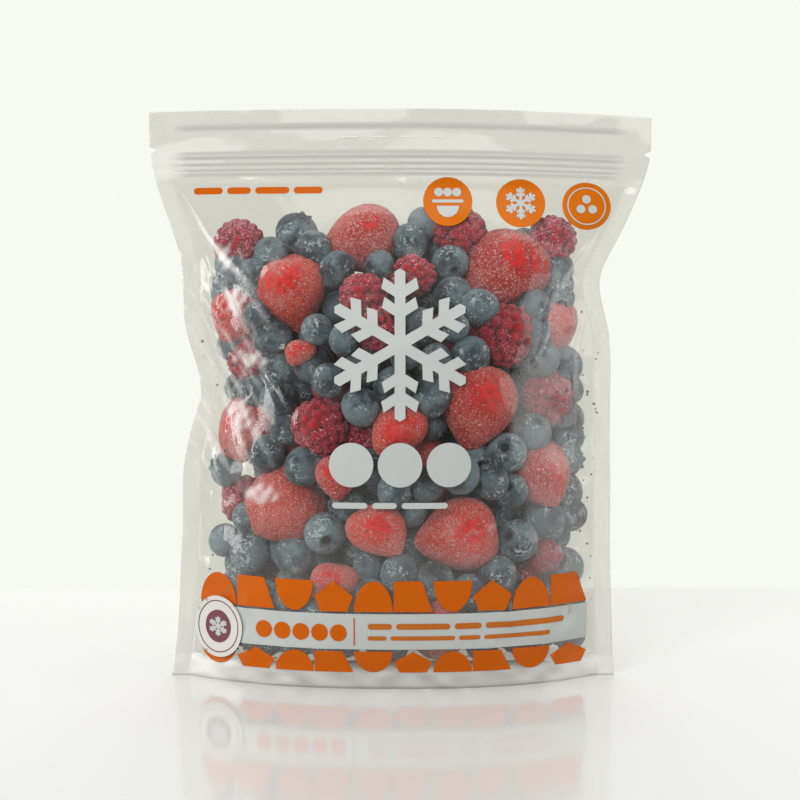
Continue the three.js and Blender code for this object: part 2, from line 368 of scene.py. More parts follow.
def packFruit(rows):
    # pushes overlapping berries apart, round by round, while the held ones keep near their places
    centre = np.array([row[1] for row in rows], dtype=float)
    home = centre.copy()
    half = np.array([row[2] for row in rows])
    radius = half.mean(axis=1)
    held = np.array([row[4] for row in rows])
    ceiling = np.where(held, packing["ceiling"][1], packing["ceiling"][0])
    reach = (radius[:, None] + radius[None]) * packing["overlap"]
    np.fill_diagonal(reach, 0)
    heldYield, freeYield, bothHeld = packing["yield"]
    weight = np.where(held[:, None], heldYield, 1.0) * np.where(held[None], 1.0, freeYield)
    weight = np.where(held[:, None] & held[None], bothHeld, weight)
    for _ in range(packing["rounds"]):
        gap = centre[:, None] - centre[None]
        far = np.sqrt((gap**2).sum(axis=2)) + 1e-6
        push = np.maximum(0, reach - far) * weight / far
        centre += (gap * push[:, :, None]).sum(axis=1) * packing["push"]
        centre[~held, 2] -= packing["settle"]
        centre[~held, 1] += packing["spread"] * np.sign(centre[~held, 1] - packing["divide"])
        centre[held] += (home[held] - centre[held]) * np.array(packing["home"])
        keepInside(centre, half, ceiling)
    for _ in range(4):
        keepInside(centre, half, ceiling)
    return centre


def roundGrid(segments, angles):
    # directions and faces of a ball with poles on Z; angles run from the top pole to the bottom one
    turn = np.arange(segments) * 2 * math.pi / segments
    polar, around = np.meshgrid(angles, turn, indexing="ij")
    polar = np.concatenate([[0.0], polar.ravel(), [math.pi]])
    around = np.concatenate([[0.0], around.ravel(), [0.0]])
    faces = []
    rings = len(angles)
    for j in range(segments):
        k = (j + 1) % segments
        faces.append((0, 1 + j, 1 + k))
        for i in range(rings - 1):
            a = 1 + i * segments
            b = a + segments
            faces.append((a + j, b + j, b + k, a + k))
        a = 1 + (rings - 1) * segments
        faces.append((a + k, a + j, len(polar) - 1))
    return polar, around, faces


def direction(polar, around):
    flat = np.sin(polar)
    return np.stack([flat * np.cos(around), flat * np.sin(around), np.cos(polar)], axis=1)


def lumps(way, count, sharpness, draw):
    # smooth random swellings over a ball, between about -1 and 1
    total = np.zeros(len(way))
    for _ in range(count):
        axis = draw.normal(size=3)
        axis /= np.linalg.norm(axis)
        total += np.exp(sharpness * (way @ axis - 1)) * draw.choice([-1, 1])
    return total / math.sqrt(count)


def evenGrid(segments, rings):
    return roundGrid(segments, np.linspace(0, math.pi, rings + 2)[1:-1])


# the berries that show are finer than those behind them, and those deep inside are plain
crownAngles = np.radians([5, 10, 13, 16, 19, 23, 29, 42, 60, 80, 100, 120, 140, 160])
plainAngles = np.radians([12, 20, 30, 60, 90, 120, 150])
grids = {
    "strawberry": (evenGrid(72, 58), evenGrid(48, 36), evenGrid(20, 14)),
    "raspberry": (evenGrid(84, 58), evenGrid(60, 42), evenGrid(28, 18)),
    "blueberry": (roundGrid(35, crownAngles), roundGrid(30, crownAngles), roundGrid(10, plainAngles)),
}


def spiralWays(count):
    # evenly spread directions
    index = np.arange(count) + 0.5
    return direction(np.arccos(1 - 2 * index / count), math.pi * (1 + math.sqrt(5)) * index)


def strawberryShape(polar, around, way, draw):
    # stem end up; the tip is narrower and each achene sits in a dimple
    up = way[:, 2]
    middle, leastTaper, mostTaper, roundness = strawberries["girth"]
    girth = middle + draw.uniform(leastTaper, mostTaper) * up - roundness * up**2
    squash = draw.uniform(*strawberries["squash"])
    length, tip, tipReach = strawberries["length"]
    form = way * np.stack([girth, girth * squash, length + tip * bell(polar - math.pi, tipReach)], axis=1)
    (broad, *broadLumps), (fine, *fineLumps) = strawberries["lumps"]
    form *= (1 + broad * lumps(way, *broadLumps, draw) + fine * lumps(way, *fineLumps, draw))[:, None]
    depth, reach = strawberries["stem"]
    stem = bell(polar, reach)
    form[:, 2] -= depth * stem
    near = (way @ spiralWays(strawberries["seeds"]).T).max(axis=1)
    depth, sharpness = strawberries["dimple"]
    dimple = np.exp((near - 1) * sharpness)
    form *= (1 - depth * dimple)[:, None]
    return form, {"seed": dimple, "end": stem}


def drupelets(draw):
    # the ways and reaches of a raspberry's drupelets, in staggered rings
    rings, first, sweep = raspberries["rings"]
    widest, shrink = raspberries["ringOf"]
    strayTurn, strayTilt = raspberries["stray"]
    least, most, _ = raspberries["drupelet"]
    centres = []
    reaches = []
    for ring in range(rings):
        angle = math.radians(first + sweep * ring / rings)
        many = max(1, round(widest * math.sin(angle) ** shrink))
        for i in range(many):
            turn = 2 * math.pi * (i + 0.5 * (ring % 2)) / many + draw.normal(0, strayTurn)
            tilt = angle + draw.normal(0, strayTilt)
            centres.append(direction(np.array([tilt]), np.array([turn]))[0])
            reaches.append(draw.uniform(least, most))
    return np.array(centres), np.array(reaches)


def raspberryShape(polar, around, way, draw):
    # a thimble of drupelets, open at the top
    centres, reaches = drupelets(draw)
    cosine = np.clip(way @ centres.T, -1, 1)
    nearest = (np.arccos(cosine) / reaches[None]).min(axis=1)
    dome = np.sqrt(np.clip(1 - (nearest * 0.94) ** 2, 0, 1))
    cupFrom, cupTo, depth, taper = raspberries["cup"]
    cup = 1 - smooth(cupFrom, cupTo, polar)
    girth = 0.98 + 0.1 * way[:, 2]
    form = way * np.stack([girth, girth, np.full_like(girth, 1.06)], axis=1)
    form *= (0.8 + raspberries["drupelet"][2] * dome * (1 - cup) + 0.04 * lumps(way, 5, 3, draw))[:, None]
    form[:, 2] -= depth * cup
    form[:, :2] *= (1 - taper * cup)[:, None]
    return form, {"seed": 1 - dome, "end": cup}


def blueberryShape(polar, around, way, draw):
    # a ball with a five-pointed crown round a shallow dish
    rim = math.radians(draw.uniform(*blueberries["rim"]))
    star = 0.5 + 0.5 * np.cos(5 * around)
    form = way * (1 + 0.02 * lumps(way, 5, 3, draw))[:, None]
    form[:, 2] *= draw.uniform(*blueberries["flat"])
    dish = 1 - smooth(rim * 0.55, rim, polar)
    width, low, point, spread = blueberries["crown"]
    lip = bell(polar - rim, math.radians(width))
    form[:, 2] += -blueberries["dish"] * dish + lip * (low + point * star)
    form[:, :2] *= (1 + spread * lip * star)[:, None]
    height, reach = blueberries["stem"]
    form[:, 2] += height * bell(math.pi - polar, reach)
    return form, {"seed": dish, "end": np.maximum(lip * 0.7, dish)}


shapes = {"strawberry": strawberryShape, "raspberry": raspberryShape, "blueberry": blueberryShape}


def placeFruit(rows, centre):
    # joins each kind's berries in arrays: points, faces and values
    kinds = {kind: {"points": [], "faces": [], "values": {}} for kind in shapes}
    for order, (row, at) in enumerate(zip(rows, centre)):
        kind, _, half, lean, held = row
        draw = np.random.default_rng(rng.integers(1 << 30))
        skinGap = float(bulge(at[:1], at[2:])[0]) - abs(at[1]) - sum(half) / 3
        level = 0 if held else 1 if skinGap < packing["plainBelow"] else 2
        polar, around, faces = grids[kind][level]
        form, values = shapes[kind](polar, around, direction(polar, around), draw)
        if kind == "blueberry" or not held:
            turned = Euler(draw.uniform(-math.pi, math.pi, 3)).to_matrix()
            if held and draw.random() < 0.6:
                crown = Vector(draw.normal(0, 0.6, 3)) + Vector((0, -1, 0))
                turned = crown.to_track_quat("Z", "Y").to_matrix()
            form = (form * half[0]) @ np.array(turned).T
        else:
            spin = Matrix.Rotation(draw.uniform(0, 2 * math.pi), 3, "Z")
            nod = Matrix.Rotation(math.radians(draw.uniform(-25, 25)), 3, "X")
            tip = Matrix.Rotation(math.radians(lean), 3, "Y")
            form = form @ np.array(tip @ nod @ spin).T
            low, high = form.min(axis=0), form.max(axis=0)
            form = (form - (low + high) / 2) * (2 * np.array(half) / (high - low))
        group = kinds[kind]
        start = sum(len(p) for p in group["points"])
        group["points"].append(form + at)
        group["faces"].extend([tuple(i + start for i in face) for face in faces])
        values["tone"] = np.full(len(form), draw.uniform(0, 1))
        frost = draw.uniform(0, 1)
        if kind == "strawberry" and held:
            frost = strawberries["frost"][order]
        values["frost"] = np.full(len(form), frost)
        for key, data in values.items():
            group["values"].setdefault(key, []).append(data)
    for group in kinds.values():
        group["points"] = np.concatenate(group["points"])
        group["values"] = {key: np.concatenate(data) for key, data in group["values"].items()}
    return kinds


print("packing the fruit")
fruitRows = gatherFruit()
fruitCentres = packFruit(fruitRows)
fruitKinds = placeFruit(fruitRows, fruitCentres)

# The film: a grid of points on each face, lifted by the fruit behind it, with pleats and puckers

film = {
    "bodyColumns": 170,
    "sealColumns": 8,
    "hemRows": 8,
    "bodyRows": 168,
    "headerRows": 42,
    "baseRows": 12,
    "crowding": 0.995,
    "clear": 0.3,  # air between berry and film
    "give": (3.0, 2.2),  # how far the film may sink and rise from the plain form
    "rounds": 90,
    "sink": 0.012,
    "ripple": 0.16,
    # waves in the film: how many, and their lengths across and up it
    "wide": (16, 15, 60),
    "fine": (12, 6.5, 42),
    "flank": (14, 6.5, 90),
    "slack": (14, 60, 22),
    "hem": (8, 24, 60),
    "reflectionEdge": ((30, 60, 98, 120, 135, 162, 180), (54, 48, 41, 45, 52, 60, 66)),  # heights, and x there, of the edge of the painted reflection on the right flank
    # x, z, half width and half height
    # patches of painted glare down the left flank
    "glareBlots": ((-62, 144, 5, 6), (-56, 122, 7, 3), (-60, 101, 4.5, 7), (-52, 72, 7, 4), (-66, 160, 3, 6)),
    # a few spots of painted glint
    "paintedGlints": ((-57.5, 190.3, 4.2, 1.3), (1, 189.2, 1.6, 1.4), (87.5, 185, 2.6, 1.6), (-84, 160, 1.4, 3)),
}
# Pleats: start and end on the bag, half width and how far the crest stands out
frontPleats = (
    ((-87, 188), (-53, 144), 3.2, 2.5),
    ((-72, 176), (-58, 132), 2.0, 0.9),
    ((-76, 150), (-62, 104), 2.2, 1.3),
    ((-70, 128), (-60, 84), 1.8, 1.2),
    ((-66, 142), (-50, 112), 1.6, 0.8),
    ((-74, 100), (-52, 124), 2.4, 1.1),
    ((-72, 96), (-66, 50), 1.8, 0.8),
    ((80, 180), (60, 146), 2.4, 1.5),
    ((72, 168), (56, 140), 1.8, 0.9),
    ((70, 150), (66, 96), 2.0, 1.1),
    ((67, 132), (63, 60), 1.6, 0.8),
    ((60, 150), (50, 118), 2.0, 0.9),
    ((66, 92), (68, 40), 1.6, 0.7),
    ((-80, 36), (-60, 20), 2.6, 0.9),
    ((78, 30), (56, 16), 2.6, 0.8),
)
backPleats = (
    ((84, 186), (48, 142), 2.6, 1.6),
    ((-82, 184), (-50, 148), 2.4, 1.5),
    ((74, 108), (46, 96), 2.4, 1.2),
    ((-70, 140), (-58, 80), 2.0, 1.1),
    ((70, 150), (64, 100), 1.8, 0.9),
    ((-72, 112), (-66, 50), 1.8, 0.9),
    ((66, 84), (68, 36), 1.6, 0.7),
    ((20, 184), (30, 160), 2.4, 0.8),
)


def columnPlaces():
    quarter = math.pi / 2 * film["crowding"]
    body = np.sin(quarter * np.linspace(-1, 1, film["bodyColumns"] + 1)) / math.sin(quarter)
    seal = 1 + np.arange(1, film["sealColumns"] + 1) / film["sealColumns"]
    return np.concatenate([-seal[::-1], body, seal])


def ringHeights():
    hemTop = pouch["hem"][3]
    hem = np.linspace(0, hemTop, film["hemRows"] + 1)[:-1]
    body = np.linspace(hemTop, pouch["headerFoot"], film["bodyRows"] + 1)[:-1]
    header = np.linspace(pouch["headerFoot"], pouch["height"], film["headerRows"] + 1)
    return np.concatenate([hem, body, header])


across = columnPlaces()
heights = ringHeights()
acrossGrid, heightGrid = np.meshgrid(across, heights)
sideGrid = np.where(acrossGrid < 0, -1, 1)
reachGrid = np.abs(acrossGrid)
kGrid = np.minimum(1, reachGrid)
innerGrid = halfWidth(sideGrid, heightGrid) - pouch["sideSeal"]
xGrid = sideGrid * (kGrid * innerGrid + np.maximum(0, reachGrid - 1) * pouch["sideSeal"])
leftFall, rightFall, fallFrom = pouch["topFall"]
fallGrid = np.where(sideGrid < 0, leftFall, rightFall) * smooth(fallFrom, pouch["height"], heightGrid)
zGrid = heightGrid - fallGrid * np.clip(np.abs(xGrid) / pouch["headerHalf"], 0, 1) ** 2
middleGrid = midPlane(sideGrid, reachGrid, heightGrid)
plainGrid = fullness(kGrid, heightGrid)


def gridPlace(x, z):
    # fractional row and column of a place on the bag
    side = np.where(x < 0, -1, 1)
    inner = halfWidth(side, z) - pouch["sideSeal"]
    beyond = np.maximum(0, np.abs(x) - inner) / pouch["sideSeal"]
    place = side * (np.minimum(1, np.abs(x) / inner) + beyond)
    row = np.interp(z, heights, np.arange(len(heights)))
    column = np.interp(place, across, np.arange(len(across)))
    return row, column


def gridSpot(points):
    # the row and column of the film's grid that stand nearest to each point
    row, column = gridPlace(points[:, 0], points[:, 2])
    return np.round(row).astype(int), np.round(column).astype(int)


def obstacles(face):
    # how far the fruit reaches towards this face at each point of the grid
    reached = np.full(plainGrid.shape, -60.0)
    for group in fruitKinds.values():
        points = group["points"]
        np.maximum.at(reached, gridSpot(points), face * points[:, 1])
    for axis in (1, 0):
        beside = np.maximum(np.roll(reached, 1, axis), np.roll(reached, -1, axis))
        reached = np.maximum(reached, beside)
    return reached - face * middleGrid


def waves(count, lengthX, lengthZ, draw, lean=0.0):
    # a smooth random field over the bag, with given wavelengths across and up it
    total = np.zeros(xGrid.shape)
    for _ in range(count):
        kx = 2 * math.pi / (lengthX * draw.uniform(0.6, 1.8)) * draw.choice([-1, 1])
        kz = 2 * math.pi / (lengthZ * draw.uniform(0.6, 1.8))
        total += np.sin(kx * (xGrid + lean * zGrid) + kz * zGrid + draw.uniform(0, 2 * math.pi))
    return total / math.sqrt(count)


def alongPleat(x0, z0, x1, z1):
    # the share of the way along a pleat and the distance to its side
    dx, dz = x1 - x0, z1 - z0
    length = math.hypot(dx, dz)
    t = ((xGrid - x0) * dx + (zGrid - z0) * dz) / length**2
    off = ((xGrid - x0) * dz - (zGrid - z0) * dx) / length + 1.2 * np.sin(7 * t + x0)
    return t, off


def pleatHeight(pleats):
    total = np.zeros(xGrid.shape)
    for (x0, z0), (x1, z1), half, depth in pleats:
        t, off = alongPleat(x0, z0, x1, z1)
        ends = np.sin(math.pi * np.clip(t, 0, 1)) ** 0.6
        crest = np.exp(-1.5 * np.abs(off) / half)
        shoulder = 0.45 * bell(off - 2.2 * half, 1.4 * half)
        total += depth * ends * (crest - shoulder)
    return total


def filmDepth(face, pleats, draw):
    fruit = obstacles(face) + film["clear"]
    sinkLimit, riseLimit = film["give"]
    inside = np.clip(plainGrid / 8, 0, 1) * smooth(0, 12, heightGrid)
    low = plainGrid - sinkLimit * inside
    high = plainGrid + riseLimit * inside
    fruit = np.minimum(fruit, high)
    depth = np.maximum(plainGrid, fruit)
    for _ in range(film["rounds"]):
        even = sum(np.roll(depth, turn, axis) for turn in (1, -1) for axis in (0, 1)) / 4
        pulled = plainGrid + (even - plainGrid) * 0.985 - film["sink"]
        depth = np.where(inside > 0.02, np.clip(np.maximum(pulled, fruit), low, high), plainGrid)
    nearSeal = smooth(0.55, 0.95, kGrid)
    loose = nearSeal * np.where(sideGrid < 0, 1.5, 1.0)
    ripples = waves(*film["wide"], draw) * (0.35 + loose) + 0.3 * waves(*film["fine"], draw) * loose
    leftFlank = smooth(-38, -54, xGrid) * smooth(84, 110, zGrid)
    ripples += 1.1 * waves(*film["flank"], draw, 0.6) * leftFlank
    puckerDepth, pitch, start = pouch["pucker"]
    turn = 2 * math.pi * heightGrid / pitch + 2 * sideGrid
    pucker = puckerDepth * smooth(start, 1, kGrid) * (1 + np.sin(turn))
    shaped = depth + inside * (film["ripple"] * ripples + pleatHeight(pleats) - pucker)
    fruit = np.where(inside > 0.02, fruit, -60)
    shaped = np.maximum(shaped, np.minimum(fruit, high))
    ribs = np.zeros(plainGrid.shape)
    for at, half, proud in pouch["ribs"]:
        ribs = np.maximum(ribs, proud * np.clip(1.6 - np.abs(heightGrid - at) / half, 0, 1))
    ribs *= 1 - 0.7 * smooth(0.92, 1.3, reachGrid)
    hemLine = pouch["hem"][0] + 0.5 * np.sin(xGrid / 6.5) + 0.35 * np.sin(xGrid / 2.7 + 1)
    ribs += 0.35 * bell(heightGrid - hemLine, 0.8)
    slack = 0.1 * np.abs(waves(*film["slack"], draw)) * smooth(187, 190, heightGrid)
    hemWave = 0.22 * np.abs(waves(*film["hem"], draw)) * (1 - smooth(3, 9, heightGrid))
    return pouch["film"] + np.maximum(shaped, 0) + ribs + slack + hemWave


def filmPoints(face, pleats, draw):
    return np.stack([xGrid, middleGrid + face * filmDepth(face, pleats, draw), zGrid], axis=2)


def gridNormals(points, face):
    alongX = np.gradient(points, axis=1)
    alongZ = np.gradient(points, axis=0)
    normal = np.cross(alongX, alongZ) * -face
    return normal / np.maximum(np.linalg.norm(normal, axis=2, keepdims=True), 1e-9)


print("shaping the film")
frontPoints = filmPoints(-1, frontPleats, np.random.default_rng(11))
backPoints = filmPoints(1, backPleats, np.random.default_rng(12))
frontNormals = gridNormals(frontPoints, -1)
backNormals = gridNormals(backPoints, 1)


def onFilm(face, x, h, lift):
    # points on one face of the film, a little outside it
    points = frontPoints if face < 0 else backPoints
    normals = frontNormals if face < 0 else backNormals
    row, column = gridPlace(x, h)
    i = np.clip(row.astype(int), 0, len(heights) - 2)
    j = np.clip(column.astype(int), 0, len(across) - 2)
    u = (row - i)[:, None]
    v = (column - j)[:, None]

    def blend(grid):
        low = grid[i, j] * (1 - v) + grid[i, j + 1] * v
        high = grid[i + 1, j] * (1 - v) + grid[i + 1, j + 1] * v
        return low * (1 - u) + high * u

    return blend(points) + blend(normals) * lift


# How much of the film is white: a level for each cause, painted reflection, glare and highlights among
# them, then how it varies or the heights where it ends
hazes = {
    "all": 0.006,
    "rime": 0.02,
    "flank": 0.03,
    "foot": (0.045, 30, 80),
    "weld": (0.16, 0.03),
    "hem": (0.42, 0.06, 5.2, 10.5),
    # the header's haze, and how much lighter its patches of painted highlight are
    "header": (0.26, 0.08),
    "ribs": 0.34,
    "base": 0.3,
    # painted reflection over the right flank, then painted glare down the left one
    "even": 0.058,
    "streaks": 0.22,
    "glareBlots": 0.34,
    "folds": (0.24, 0.6),  # painted highlight along the pleat crests: level, and the pleat height where it starts
    # the level of the painted glints
    "paintedGlints": 0.5,
}
greyAndShadeLevels = {"header": 0.23, "hem": 0.06, "ribFade": 0.55}  # how much of that white is grey; in the header's creases it is painted shade
gusset = {
    "rim": 3.5,
    "rimShare": 0.3,  # of the depth at most
    "opens": (14, 35),  # as the base gets deeper
    "hang": (3.2, 0.6),  # height, and the power of its arch
    "fold": (2.2, 0.1),  # height, and half its width as a share of the depth
}


def paintedReflectionAndGlare(draw):
    # painted reflection and glare in the film's haze: an even veil over the right flank, broken streaks
    # and blots down the left one
    side = np.interp(zGrid, *film["reflectionEdge"])
    even = hazes["even"] * smooth(-1.5, 2.5, xGrid - side) * (1 - smooth(150, 176, zGrid))
    streaks = smooth(-0.1, 1.3, waves(20, 7, 40, draw, 0.6) + 0.5 * waves(16, 3, 12, draw, 0.6))
    flank = smooth(-43, -58, xGrid) * smooth(66, 88, zGrid) * (1 - smooth(146, 166, zGrid))
    rough = 0.5 * waves(18, 5, 7, draw)
    glareBlots = np.zeros(xGrid.shape)
    for x, z, wide, tall in film["glareBlots"]:
        reach = ((xGrid - x) / wide) ** 2 + ((zGrid - z) / tall) ** 2
        glareBlots = np.maximum(glareBlots, smooth(-0.1, 1.2, 1.1 - reach + rough))
    return even + hazes["streaks"] * streaks * flank + hazes["glareBlots"] * glareBlots


def paintedCrestHighlights(pleats):
    # painted highlights: white haze along the crests of sharp folds in the film, and painted glints at a
    # few spots
    total = np.zeros(xGrid.shape)
    level, least = hazes["folds"]
    for (x0, z0), (x1, z1), half, depth in pleats:
        t, off = alongPleat(x0, z0, x1, z1)
        width = 0.2 + 0.32 * half * smooth(0, 0.7, t)
        line = (1 - smooth(width * 0.6, width * 1.4, np.abs(off))) * np.sin(math.pi * np.clip(t, 0, 1))
        total = np.maximum(total, level * max(0, depth - least) * line)
    for x, z, wide, tall in film["paintedGlints"]:
        spot = bell((xGrid - x) / wide, 1) * bell((zGrid - z) / tall, 1)
        total = np.maximum(total, hazes["paintedGlints"] * smooth(0.25, 0.8, spot))
    return total


def filmHazeAndPaintedLight(draw):
    # haze: the header and welds are cloudier, rime hangs inside the film in patches, and painted
    # reflection, glare and highlights are added to it
    rime = smooth(0.2, 1.6, waves(24, 34, 40, draw) + 0.6 * waves(24, 9, 11, draw))
    level, varied = hazes["weld"]
    weld = smooth(0.97, 1.08, reachGrid) * (level + varied * waves(16, 8, 30, draw))
    level, varied, *fade = hazes["hem"]
    hemHaze = level + varied * waves(12, 16, 8, draw)
    weld = np.maximum(weld, hemHaze * (1 - smooth(*fade, heightGrid)))
    aboveFoot = smooth(187, 191, heightGrid)
    # patches of painted highlight on the header, with painted shade in the creases between them
    patches = smooth(-0.35, 0.5, waves(14, 70, 26, draw) + 0.35 * waves(10, 20, 9, draw))
    level, varied = hazes["header"]
    header = (level + varied * patches) * aboveFoot
    flank = hazes["flank"] * smooth(0.6, 1, kGrid)
    level, *fade = hazes["foot"]
    foot = level * (1 - smooth(*fade, heightGrid))
    hazeAndPaintedLight = hazes["all"] + hazes["rime"] * rime + flank + foot + np.maximum(weld, header)
    # painted reflection and glare, and painted highlights along the crests and at a few spots
    hazeAndPaintedLight += paintedReflectionAndGlare(draw) + paintedCrestHighlights(frontPleats)
    # where the cloudiness is grey: along the zip, at the hem, and painted shade in the creases of the
    # header
    greyAndShade = greyAndShadeLevels["header"] * (1 - patches) * aboveFoot + greyAndShadeLevels["hem"] * (1 - smooth(4.5, 6, heightGrid))
    for at, half, _ in pouch["ribs"]:
        line = bell(np.abs(heightGrid - at) - half, greyAndShadeLevels["ribFade"]) * (1 - smooth(0.9, 1.02, reachGrid))
        greyAndShade = np.maximum(greyAndShade, line)
        hazeAndPaintedLight = np.maximum(hazeAndPaintedLight, hazes["ribs"] * line)
    return hazeAndPaintedLight, greyAndShade


def filmPiece(material):
    rows, columns = xGrid.shape
    front = np.arange(rows * columns).reshape(rows, columns)
    back = front + rows * columns
    points = [frontPoints.reshape(-1, 3), backPoints.reshape(-1, 3)]
    faces = []

    def patch(grid, flip):
        a, b, c, d = grid[:-1, :-1], grid[:-1, 1:], grid[1:, 1:], grid[1:, :-1]
        order = (a, d, c, b) if flip else (a, b, c, d)
        faces.extend(np.stack(order, axis=2).reshape(-1, 4).tolist())

    patch(front, False)
    patch(back, True)
    for edge, flip in ((0, False), (-1, True)):
        patch(np.stack([back[:, edge], front[:, edge]], axis=1), flip)
    patch(np.stack([front[-1], back[-1]], axis=0), False)
    # the base: two flat rims and the gusset's film hung between them
    count = 2 * rows * columns
    base = []
    shares = np.concatenate([[0], np.linspace(0, 1, film["baseRows"] + 1)[1:-1], [1]])
    near, far = frontPoints[0], backPoints[0]
    depth = far[:, 1] - near[:, 1]
    rim = np.minimum(gusset["rim"] / depth, gusset["rimShare"])
    opened = smooth(*gusset["opens"], depth)
    hangs, hangPower = gusset["hang"]
    folds, foldHalf = gusset["fold"]
    for share in shares:
        y = near[:, 1] + depth * (rim + (1 - 2 * rim) * share)
        hang = hangs * math.sin(math.pi * share) ** hangPower if 0 < share < 1 else 0
        fold = folds * math.exp(-(((share - 0.5) / foldHalf) ** 2))
        points.append(np.stack([near[:, 0], y, opened * (hang + fold)], axis=1))
        base.append(np.arange(count, count + columns))
        count += columns
    patch(np.stack([front[0], *base, back[0]], axis=0), True)
    points = np.concatenate(points)
    hazeAndPaintedLight, greyAndShade = filmHazeAndPaintedLight(np.random.default_rng(21))
    values = {"hazeAndPaintedLight": hazeAndPaintedLight.ravel(), "greyAndShade": np.clip(greyAndShade, 0, 1).ravel()}
    rest = np.full(len(points) - 2 * hazeAndPaintedLight.size, hazes["base"])
    values = {key: np.concatenate([data, data, rest]) for key, data in values.items()}
    return makePiece("film", points, faces, material, "film", values)


filmLook = {
    "grain": (170, 2, 0.5),
    "drawn": (1, 1, 0.22),  # the grain is long and upright
    "bump": (0.16, 0.0006),
    "gloss": (0.05, 0.85),  # seen square on, and what grazing adds
    "roughness": (0.12, 0.4),  # and what haze adds
    "milk": ((0.86, 0.86, 0.83, 1), (0.36, 0.36, 0.36, 1)),  # white haze, and its grey, which in the header's creases is painted shade
    "clear": (0.84, 0.83, 0.80, 1),
}


def filmMaterial():
    # the same shine from both sides: a film doesn't trap light as a block of glass does
    paint = Paint("clearFilm")
    # the haze holds the film's cloudiness with painted reflection, glare and highlights in it
    hazeAndPaintedLight = paint.value("hazeAndPaintedLight")
    streaks = paint.node("ShaderNodeMapping", {}, {"Vector": paint.place(), "Scale": filmLook["drawn"]})
    fine = paint.noise(streaks, *filmLook["grain"])
    graze = paint.node("ShaderNodeLayerWeight", {}, {"Blend": 0.5}, out=1)
    square, grazing = filmLook["gloss"]
    gloss = square + grazing * graze**5
    cover = (gloss + hazeAndPaintedLight).held()
    smoothest, clouded = filmLook["roughness"]
    sheet = paint.principled({
        "Base Color": paint.mix(paint.value("greyAndShade"), *filmLook["milk"]),
        "Metallic": (gloss / cover).held(), "Roughness": smoothest + hazeAndPaintedLight * clouded,
        "Normal": paint.bump(*filmLook["bump"], fine),
    })
    clear = paint.node("ShaderNodeBsdfTransparent", {}, {"Color": filmLook["clear"]})
    return paint.finish(paint.node("ShaderNodeMixShader", {}, {0: cover, 1: clear, 2: sheet}))


rimeScales = {"drift": 85, "grains": 1150, "fine": 1500}


def frostLayer(paint, where, amount):
    # grains of rime in drifts: how much of the skin they cover, their painted glints and their height
    drift = paint.noise(where, rimeScales["drift"], 3, 0.6)
    grains = paint.node("ShaderNodeTexVoronoi", {}, {"Vector": where, "Scale": rimeScales["grains"]})
    fine = paint.noise(where, rimeScales["fine"], 3, 0.65)
    bead = 1 - grains.between(0.05, 0.75)
    cover = (amount + (drift - 0.5) * 2.0 + (bead - 0.5) * 0.8 + (fine - 0.5) * 1.6).between(0.1, 0.95)
    return cover, (fine + bead * 0.2).between(0.66, 0.80) * cover, bead * 0.7 + fine * 0.6


redSkins = {
    "strawberry": {
        "patches": 260,  # how fine the wet patches are
        "frost": (0.42, 0.42, 1.1),  # the least, what it varies by, and how far wetness takes it away
        "flesh": ((0.40, 0.009, 0.010, 1), (0.66, 0.042, 0.018, 1)),
        "ripe": (0.76, 0.005, 0.001, 1),
        "sunk": (0.5, (0.22, 0.010, 0.010, 1)),
        "iced": (0.85, (0.60, 0.17, 0.16, 1)),
        "sparkle": (0.85, (0.93, 0.62, 0.58, 1)),
        "relief": (0.8, 0.0006),
        "sheen": (1.0, 0.84, 0.82, 1),
    },
    "raspberry": {
        "patches": 300,
        "frost": (0.08, 0.40, 0.9),
        "flesh": ((0.30, 0.004, 0.018, 1), (0.42, 0.010, 0.028, 1)),
        "ripe": (0.46, 0.002, 0.008, 1),
        # painted shade between the drupelets
        "sunk": (0.85, (0.07, 0.001, 0.006, 1)),
        "iced": (0.85, (0.54, 0.20, 0.25, 1)),
        "hollow": (0.6, (0.30, 0.06, 0.08, 1)),
        "sparkle": (0.8, (0.92, 0.68, 0.73, 1)),
        "relief": (0.5, 0.0004),
        "sheen": (1.0, 0.84, 0.88, 1),
    },
}


def redMaterial(kind):
    # frosted flesh, red and wet in patches where the film presses on it
    skin = redSkins[kind]
    paint = Paint("frosted" + kind.capitalize())
    where = paint.place()
    press = paint.value("press")
    wet = (press * 1.4 * paint.noise(where, skin["patches"], 3, 0.7).between(0.40, 0.53)).held()
    least, varied, melted = skin["frost"]
    amount = least + paint.value("frost") * varied - wet * melted
    rime, sparkle, height = frostLayer(paint, where, amount)
    colour = paint.mix(paint.value("tone"), *skin["flesh"])
    colour = paint.mix(wet, colour, skin["ripe"])
    # darker in the sunk spots: in a strawberry's dimples, and painted shade between a raspberry's
    # drupelets
    colour = paint.lay(paint.value("seed"), colour, skin["sunk"])
    colour = paint.lay(rime, colour, skin["iced"])
    if "hollow" in skin:
        colour = paint.lay(paint.value("end"), colour, skin["hollow"])
    # painted glints on the brightest grains of rime
    colour = paint.lay(sparkle, colour, skin["sparkle"])
    return paint.finish(paint.principled({
        "Base Color": colour, "Roughness": 0.30 + rime * 0.4,
        "Normal": paint.bump(*skin["relief"], height),
        "Sheen Weight": 0.25, "Sheen Roughness": 0.5, "Sheen Tint": skin["sheen"],
    }))


blueSkin = {
    "flesh": ((0.008, 0.017, 0.032, 1), (0.022, 0.030, 0.052, 1)),
    "bloom": (0.95, (0.17, 0.24, 0.28, 1)),
    "frost": (0.85, (0.48, 0.56, 0.60, 1)),
    "crown": (0.95, (0.008, 0.007, 0.012, 1)),
    "relief": (0.5, 0.0004),
    "sheen": (0.9, 0.95, 1.0, 1),
}


